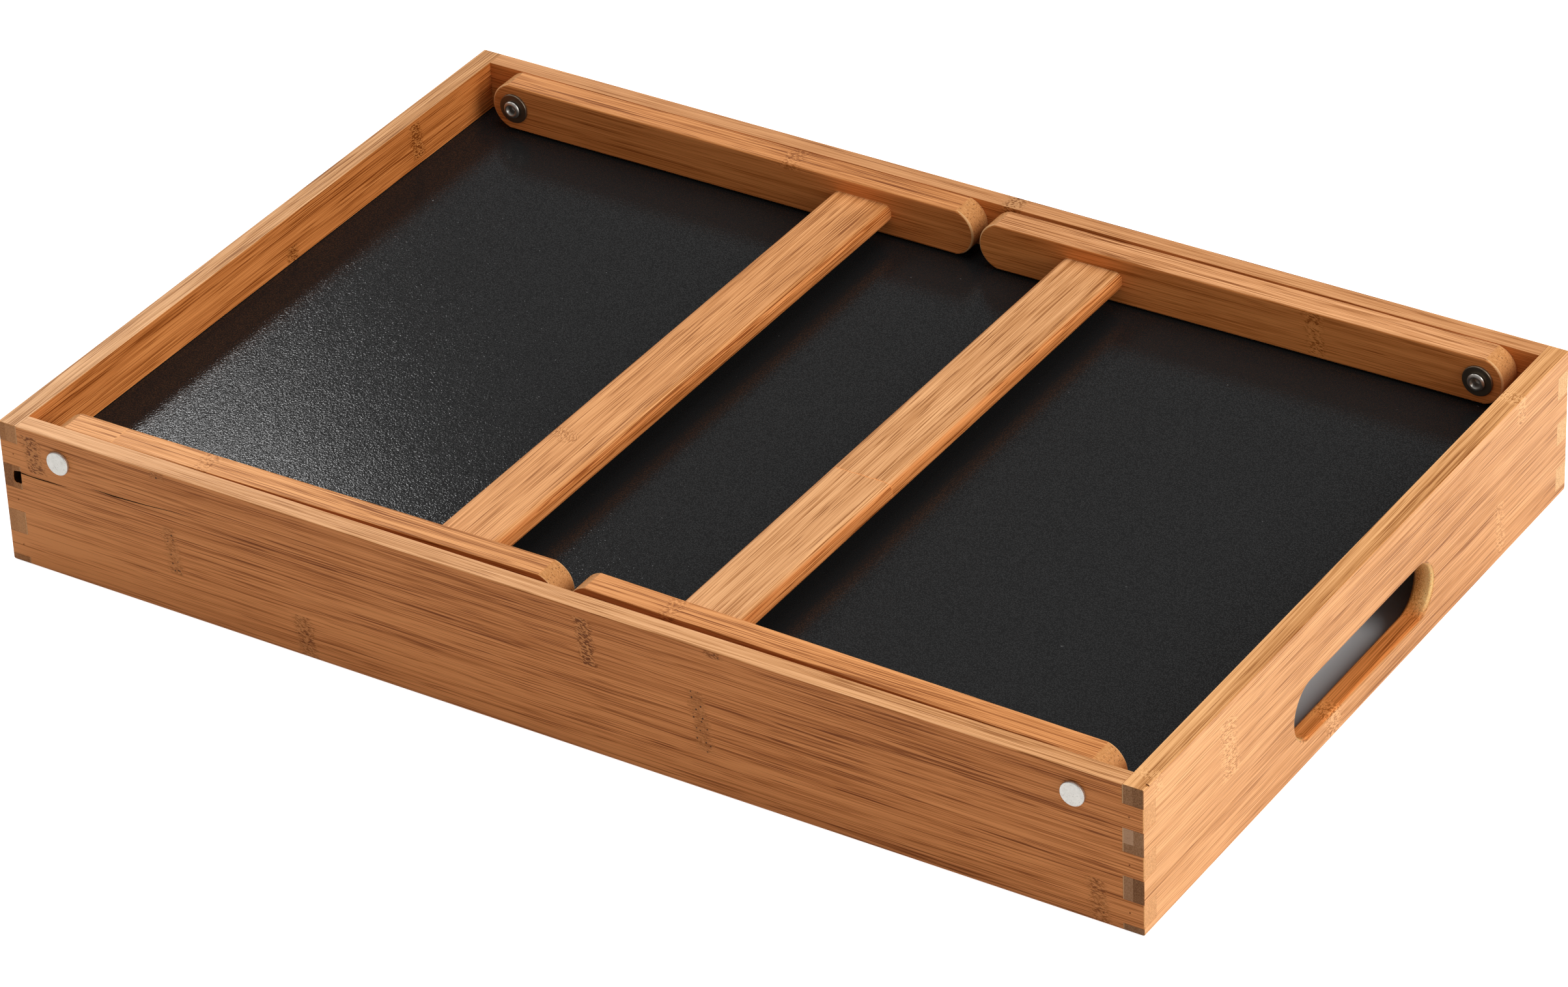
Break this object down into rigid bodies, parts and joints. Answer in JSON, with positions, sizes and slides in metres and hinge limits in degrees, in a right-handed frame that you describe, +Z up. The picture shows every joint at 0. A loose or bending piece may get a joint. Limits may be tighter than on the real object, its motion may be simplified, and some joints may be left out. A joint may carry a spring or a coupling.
{
  "type": "bed tray",
  "caption": "Bamboo bed tray with a black panel, finger-jointed rails with handle slots, and two riveted U-shaped leg frames folded into its underside.",
  "frame": {"origin": "centre of the tray's footprint, in the plane of the serving-side rim that it lies on as pictured", "axes": "+X along the long rails, +Y from the front rail to the back rail, +Z up as pictured, which is out of the tray's underside, so the serving side faces -Z and the folded legs lie on the +Z side"},
  "size_m": [0.5, 0.3326, 0.063],
  "materials": {
    "long_rail_bamboo": "satin lacquer over caramel bamboo strips",
    "end_rail_bamboo": "satin lacquer over caramel bamboo strips",
    "leg_bamboo": "satin lacquer over caramel bamboo strips",
    "crossbar_bamboo": "satin lacquer over caramel bamboo strips",
    "dowel_wood": "raw",
    "panel_black": "black coating with a fine leather grain",
    "rivet_aluminium": "bright, lightly scratched",
    "washer_dark_steel": "blackened, bright at the rim",
    "brad_steel": "plain"
  },
  "bodies": {
    "tray": {"front_rail": "long_rail_bamboo", "back_rail": "long_rail_bamboo", "left_rail": "end_rail_bamboo", "right_rail": "end_rail_bamboo", "panel": "panel_black", "rivet_front_left": "rivet_aluminium", "rivet_front_right": "rivet_aluminium", "rivet_back_left": "rivet_aluminium", "rivet_back_right": "rivet_aluminium", "brad_front_left_1": "brad_steel", "brad_front_left_2": "brad_steel", "brad_front_left_3": "brad_steel", "brad_front_right_1": "brad_steel", "brad_front_right_2": "brad_steel", "brad_front_right_3": "brad_steel", "brad_back_left_1": "brad_steel", "brad_back_left_2": "brad_steel", "brad_back_left_3": "brad_steel", "brad_back_right_1": "brad_steel", "brad_back_right_2": "brad_steel", "brad_back_right_3": "brad_steel"},
    "left_leg_frame": {"leg_front_left": "leg_bamboo", "leg_back_left": "leg_bamboo", "crossbar_left": "crossbar_bamboo", "dowel_front_left_inner": "dowel_wood", "dowel_front_left_outer": "dowel_wood", "dowel_back_left_inner": "dowel_wood", "dowel_back_left_outer": "dowel_wood", "washer_front_left": "washer_dark_steel", "washer_back_left": "washer_dark_steel"},
    "right_leg_frame": {"leg_front_right": "leg_bamboo", "leg_back_right": "leg_bamboo", "crossbar_right": "crossbar_bamboo", "dowel_front_right_inner": "dowel_wood", "dowel_front_right_outer": "dowel_wood", "dowel_back_right_inner": "dowel_wood", "dowel_back_right_outer": "dowel_wood", "washer_front_right": "washer_dark_steel", "washer_back_right": "washer_dark_steel"}
  },
  "joints": [
    {"name": "left_leg_fold", "type": "hinge", "parent": "tray", "child": "left_leg_frame", "pos_m": [-0.222, 0, 0.05265], "axis": [0, -1, 0], "range_deg": [0, 123.5]},
    {"name": "right_leg_fold", "type": "hinge", "parent": "tray", "child": "right_leg_frame", "pos_m": [0.222, 0, 0.05265], "axis": [0, 1, 0], "range_deg": [0, 123.5]}
  ]
}
